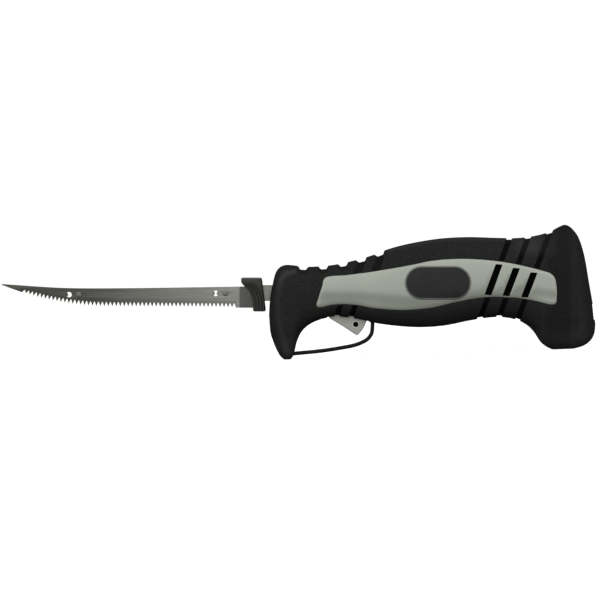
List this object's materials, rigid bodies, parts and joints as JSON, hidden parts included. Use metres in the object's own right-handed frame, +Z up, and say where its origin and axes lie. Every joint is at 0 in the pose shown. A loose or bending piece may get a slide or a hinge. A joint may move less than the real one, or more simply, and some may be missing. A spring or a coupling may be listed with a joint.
{
  "type": "electric fillet knife",
  "caption": "Electric fillet knife: paired toothed blades that slide to and fro, rubber clad handle with trigger, finger guard strap and a power inlet in the butt.",
  "frame": {"origin": "on the floor under the middle of the bounding box, with the knife standing on its guard tip and its butt", "axes": "+X towards the butt, blade tip at -X; +Z up, spine of the blades up; the knife's left side, shown in the picture, faces -Y"},
  "size_m": [0.4732, 0.0516, 0.0993],
  "materials": {
    "rubber_black": "matte black soft-touch rubber with a fine grain",
    "shell_black": "black moulded plastic",
    "sage_grey": "satin sage grey moulded plastic",
    "pale_grey": "satin pale warm grey plastic",
    "plaque_dark": "satin dark grey plaque, unmarked",
    "blade_steel": "ground stainless steel",
    "base_olive": "dark olive grey plastic",
    "zinc_steel": "zinc plated steel",
    "spring_steel": "bright spring steel",
    "acetal_white": "natural acetal",
    "brass": "turned brass",
    "copper": "copper",
    "magnet_grey": "sintered ferrite",
    "carbon_black": "carbon",
    "board_green": "coated circuit board",
    "wire_red": "insulated wire",
    "wire_blue": "insulated wire",
    "wire_brown": "insulated wire"
  },
  "bodies": {
    "handle": {"blade_guide": "acetal_white", "bar_guide": "acetal_white", "axle_clip_left": "spring_steel", "axle_clip_right": "spring_steel", "gear_axle": "zinc_steel", "gear_frame": "zinc_steel", "motor_can": "zinc_steel", "magnet_upper": "magnet_grey", "magnet_lower": "magnet_grey", "brush_upper": "carbon_black", "brush_lower": "carbon_black", "motor_end_cap": "shell_black", "trigger_pin": "spring_steel", "switch_body": "shell_black", "trigger_spring": "spring_steel", "finger_guard": "shell_black", "power_inlet": "shell_black", "inlet_pin_left": "brass", "inlet_pin_right": "brass", "rectifier_board": "board_green", "wire_live": "wire_brown", "wire_switched": "wire_red", "wire_neutral": "wire_blue", "housing_screw_1": "spring_steel", "housing_screw_2": "spring_steel", "housing_screw_3": "spring_steel", "housing_screw_4": "spring_steel", "housing_screw_5": "spring_steel", "shell_left": "shell_black", "shell_right": "shell_black", "side_panel_left": "sage_grey", "plaque_left": "plaque_dark", "side_panel_right": "sage_grey", "plaque_right": "plaque_dark", "grip_left": "rubber_black", "grip_right": "rubber_black"},
    "left_bar": {"drive_bar_left": "zinc_steel", "blade_clip_left": "spring_steel"},
    "right_bar": {"drive_bar_right": "zinc_steel", "blade_clip_right": "spring_steel"},
    "left_blade": {"blade_left": "blade_steel", "blade_base_left": "base_olive"},
    "right_blade": {"blade_right": "blade_steel", "blade_base_right": "base_olive", "tip_rivet": "zinc_steel", "heel_rivet": "zinc_steel"},
    "rotor": {"motor_shaft": "spring_steel", "armature": "copper", "commutator": "copper", "worm": "brass", "fan": "shell_black"},
    "crank": {"crank_gear": "acetal_white"},
    "trigger_lever": {"trigger": "pale_grey"},
    "cross_button": {"lock_button": "shell_black"},
    "plunger": {"switch_plunger": "acetal_white"}
  },
  "joints": [
    {"name": "left_stroke", "type": "slide", "parent": "handle", "child": "left_bar", "axis": [0.9993, 0, -0.0378], "range_m": [-0.0022, 0.0022]},
    {"name": "right_stroke", "type": "slide", "parent": "handle", "child": "right_bar", "axis": [0.9993, 0, -0.0378], "range_m": [-0.0022, 0.0022]},
    {"name": "left_blade_release", "type": "slide", "parent": "left_bar", "child": "left_blade", "axis": [-0.9993, 0, 0.0378], "range_m": [0, 0.045]},
    {"name": "right_blade_release", "type": "slide", "parent": "right_bar", "child": "right_blade", "axis": [-0.9993, 0, 0.0378], "range_m": [0, 0.045]},
    {"name": "rotor_spin", "type": "hinge", "parent": "handle", "child": "rotor", "pos_m": [0.08298, 0, 0.06172], "axis": [0.9993, 0, -0.0378], "continuous": true},
    {"name": "crank_spin", "type": "hinge", "parent": "handle", "child": "crank", "pos_m": [0.08234, 0, 0.04473], "axis": [0, 1, 0], "continuous": true},
    {"name": "trigger_squeeze", "type": "hinge", "parent": "handle", "child": "trigger_lever", "pos_m": [0.02909, 0, 0.03924], "axis": [0, -1, 0], "range_deg": [0, 8], "stiffness_Nm_per_rad": 0.5, "springref_deg": -11.46, "deforming": ["trigger_spring"]},
    {"name": "plunger_travel", "type": "slide", "parent": "handle", "child": "plunger", "axis": [0.0378, 0, 0.9993], "range_m": [0, 0.0015]},
    {"name": "lock_slide", "type": "slide", "parent": "trigger_lever", "child": "cross_button", "axis": [0, 1, 0], "range_m": [0, 0.0023]}
  ],
  "couplings": [
    {"joint": "right_stroke", "follows": "left_stroke", "ratio": -1},
    {"joint": "right_blade_release", "follows": "left_blade_release", "ratio": 1},
    {"joint": "crank_spin", "follows": "rotor_spin", "ratio": -0.076923},
    {"joint": "plunger_travel", "follows": "trigger_squeeze", "m_per_rad": 0.010385}
  ]
}
